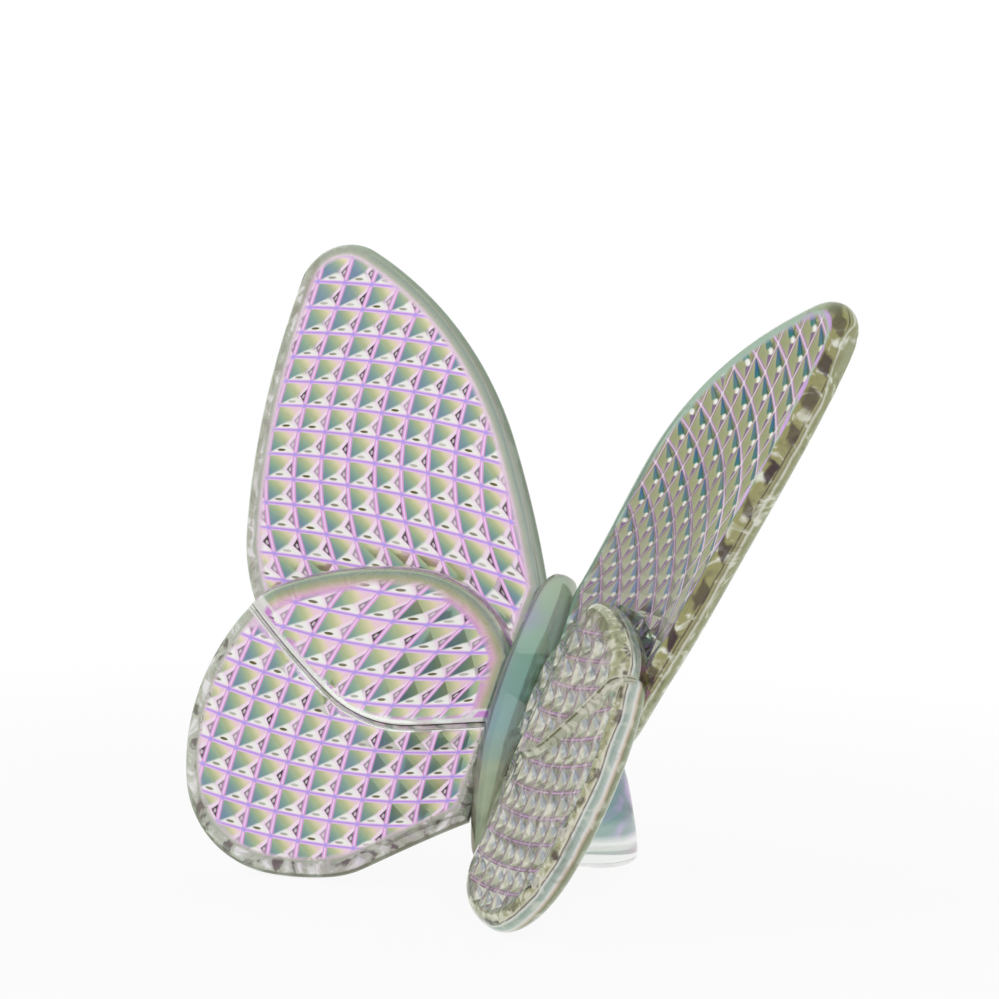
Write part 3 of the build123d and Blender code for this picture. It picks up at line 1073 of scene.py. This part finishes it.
hindCrossing, lobeCrossing = (crossingOf(hindWing["nets"][part]) for part in ("lower", "lobe"))
coats = {
    "left": wingGlass("leftCoatedGlass", leftCoating, frontCells, lumpyRim),
    "right": wingGlass(
        "rightCoatedGlass", rightCoating, slantedCells, bandedRim, finish=paintedGlintsAndBeads,
    ),
}
for sideName, side in (("right", 1), ("left", -1)):
    for piece, node, slot in (
        (makeForeWing(sideName, side), sideName + "_forewing", "forewing_glass"),
        (makeHindWing(sideName, side), sideName + "_hindwing", "hindwing_glass"),
    ):
        piece.data.materials.append(coats[sideName])
        if sideName == "right":  # its rear face matches the left wing's
            coatRear(piece, coats["left"])
        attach(piece, "root")
        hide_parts(node)
print("wings made")

# Body and foot
bodyShape = {
    "stations": (  # y, z, half width, half depth
        (-1.4, 2.3, 0.5, 0.6), (-1.3, 3.2, 1.2, 1.45), (-0.4, 6.9, 1.9, 2.3),
        (0.5, 10.5, 2.2, 2.65), (1.6, 14.4, 2.35, 2.85), (4.2, 20.2, 2.4, 2.9),
        (6.6, 24.6, 2.3, 2.8), (8.5, 28.2, 1.9, 2.3), (9.35, 29.8, 1.2, 1.5),
        (9.55, 30.2, 0.45, 0.6),
    ),
    "around": 48, "between": 10, "flatBelow": 0.0,
}
footShape = {
    "stations": (
        (14.9, 0.0, 4.2, 4.2), (14.9, 0.1, 4.55, 4.55), (14.9, 0.4, 4.85, 4.85),
        (14.9, 1.0, 4.98, 4.98), (14.8, 3.5, 4.75, 4.75), (14.3, 8.0, 4.1, 4.1),
        (12.9, 11.8, 3.5, 3.5), (11.2, 15.0, 3.3, 3.3), (8.4, 18.0, 3.05, 3.05),
        (5.2, 20.0, 2.8, 2.8),
    ),
    "around": 48, "between": 8, "flatBelow": 1.0,  # rings lie level up to this height
}


def smoothLine(stations, between):
    # A smooth line through the stations
    line = []
    for i in range(len(stations) - 1):
        before, here = stations[max(i - 1, 0)], stations[i]
        there, after = stations[i + 1], stations[min(i + 2, len(stations) - 1)]
        for j in range(between):
            t = j / between
            line.append(
                here * (2 * t**3 - 3 * t**2 + 1) + (there - before) * 0.5 * (t**3 - 2 * t**2 + t)
                + there * (3 * t**2 - 2 * t**3) + (after - here) * 0.5 * (t**3 - t**2)
            )
    return line + stations[-1:]


def tubeMesh(name, shape):
    # Oval rings along the line through the stations, closed at both ends
    line = smoothLine([Vector(station) for station in shape["stations"]], shape["between"])
    around = shape["around"]
    bm = bmesh.new()
    rings = []
    for i, (y, z, width, depth) in enumerate(line):
        ahead, behind = line[min(i + 1, len(line) - 1)], line[max(i - 1, 0)]
        along = Vector((0, ahead[0] - behind[0], ahead[1] - behind[1])).normalized()
        if z < shape["flatBelow"]:
            along = Vector((0, 0, 1))
        sideways, across = Vector((width, 0, 0)), along.cross(Vector((1, 0, 0))) * depth
        ring = []
        for j in range(around):
            turn = 2 * math.pi * j / around
            place = Vector((0, y, z)) + sideways * math.cos(turn) + across * math.sin(turn)
            ring.append(bm.verts.new(place * mm))
        rings.append(ring)
    for a, b in zip(rings, rings[1:]):
        for j in range(around):
            k = (j + 1) % around
            bm.faces.new((a[j], a[k], b[k], b[j]))
    for ring in (rings[0][::-1], rings[-1]):
        bm.faces.new(ring)
    bmesh.ops.recalc_face_normals(bm, faces=bm.faces)
    return makePiece(name, bm, tubeSharp)


for name, shape, node, slot, colours, settings in (
    ("bodyBar", bodyShape, "body", "body_glass", bodyColours, bodyColourValues),
    ("footStem", footShape, "foot", "foot_glass", footColours, footColourValues),
):
    piece = tubeMesh(name, shape)
    piece.data.materials.append(smoothGlass(node + "Glass", colours, settings))
    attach(piece, "root")
    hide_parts(node)
print("body and foot made")

# Studio: pale floor, white surroundings with a darker ceiling, and soft lamps
studio = {
    "floorColour": (0.93, 0.93, 0.93), "floorHalf": 6.0,  # m
    "floorGlow": 0.9, "whiteBeyond": 60.0,  # how much of the floor is white by itself, and how soon
    "around": (  # from the floor up, as it lights the glass
        (0.0, white), (0.25, white), (0.42, (0.06, 0.07, 0.05)), (1.0, (0.06, 0.07, 0.05)),
    ),
    "mirrored": (  # from straight down to straight up, as the gloss shows it
        (0.0, white), (0.42, (0.88, 0.90, 0.88)), (0.56, (1.08, 1.08, 1.08)), (0.85, white),
    ),
    "aim": (0.0, 0.0, 0.03),
    "lamps": (  # m and W
        {"name": "keyLamp", "place": (-0.7, -1.2, 1.2), "size": 1.5, "watts": 12.5},
        {"name": "sideLamp", "place": (1.2, -0.3, 0.9), "size": 1.0, "watts": 5.0},
        {"name": "backLamp", "place": (-0.4, 1.2, 1.1), "size": 1.5, "watts": 10.0},
    ),
}
floorMesh = bpy.data.meshes.new("floor")
half = studio["floorHalf"]
corners = [(-half, -half, 0), (half, -half, 0), (half, half, 0), (-half, half, 0)]
floorMesh.from_pydata(corners, [], [(0, 1, 2, 3)])
floor = bpy.data.objects.new("floor", floorMesh)
bpy.context.collection.objects.link(floor)
floorMaterial = bpy.data.materials.new("floorPaper")
nodes = Nodes(floorMaterial)
seen = nodes.ray("Is Camera Ray") + nodes.ray("Is Transmission Ray") + nodes.ray("Is Glossy Ray")
paper = nodes.node("ShaderNodeBsdfDiffuse", {}, {"Color": studio["floorColour"]})
glow = nodes.node("ShaderNodeEmission", {}, {"Color": white, "Strength": 1.0})
x, y, _ = nodes.parts(nodes.place())
far = ((x * x + y * y) * studio["whiteBeyond"]).clamped()
glowing = far * (1 - studio["floorGlow"]) + studio["floorGlow"]
nodes.end(nodes.blend(seen.clamped() * glowing, paper, glow))
floorMesh.materials.append(floorMaterial)

world = bpy.data.worlds.new("studio")
bpy.context.scene.world = world
nodes = Nodes(world)
height = nodes.parts(nodes.place("Generated"))[2]
around = nodes.ramp(studio["around"], height)
mirrored = nodes.ramp(studio["mirrored"], height * 0.5 + 0.5)
shown = nodes.mix(nodes.ray("Is Glossy Ray"), around, mirrored)
shown = nodes.mix(nodes.ray("Is Camera Ray"), shown, white)
surroundings = nodes.node("ShaderNodeBackground", {}, {"Color": shown, "Strength": 1.0})
nodes.end(surroundings, "ShaderNodeOutputWorld")

for lamp in studio["lamps"]:
    data = bpy.data.lights.new(lamp["name"], "AREA")
    data.size, data.energy = lamp["size"], lamp["watts"]
    item = bpy.data.objects.new(lamp["name"], data)
    item.location = lamp["place"]
    item.visible_glossy = False  # the gloss shows the surroundings, not the lamps
    aim = Vector(studio["aim"]) - item.location
    item.rotation_euler = aim.to_track_quat("-Z", "Y").to_euler()
    bpy.context.collection.objects.link(item)
bpy.context.scene.view_settings.view_transform = "Standard"
print("studio set")
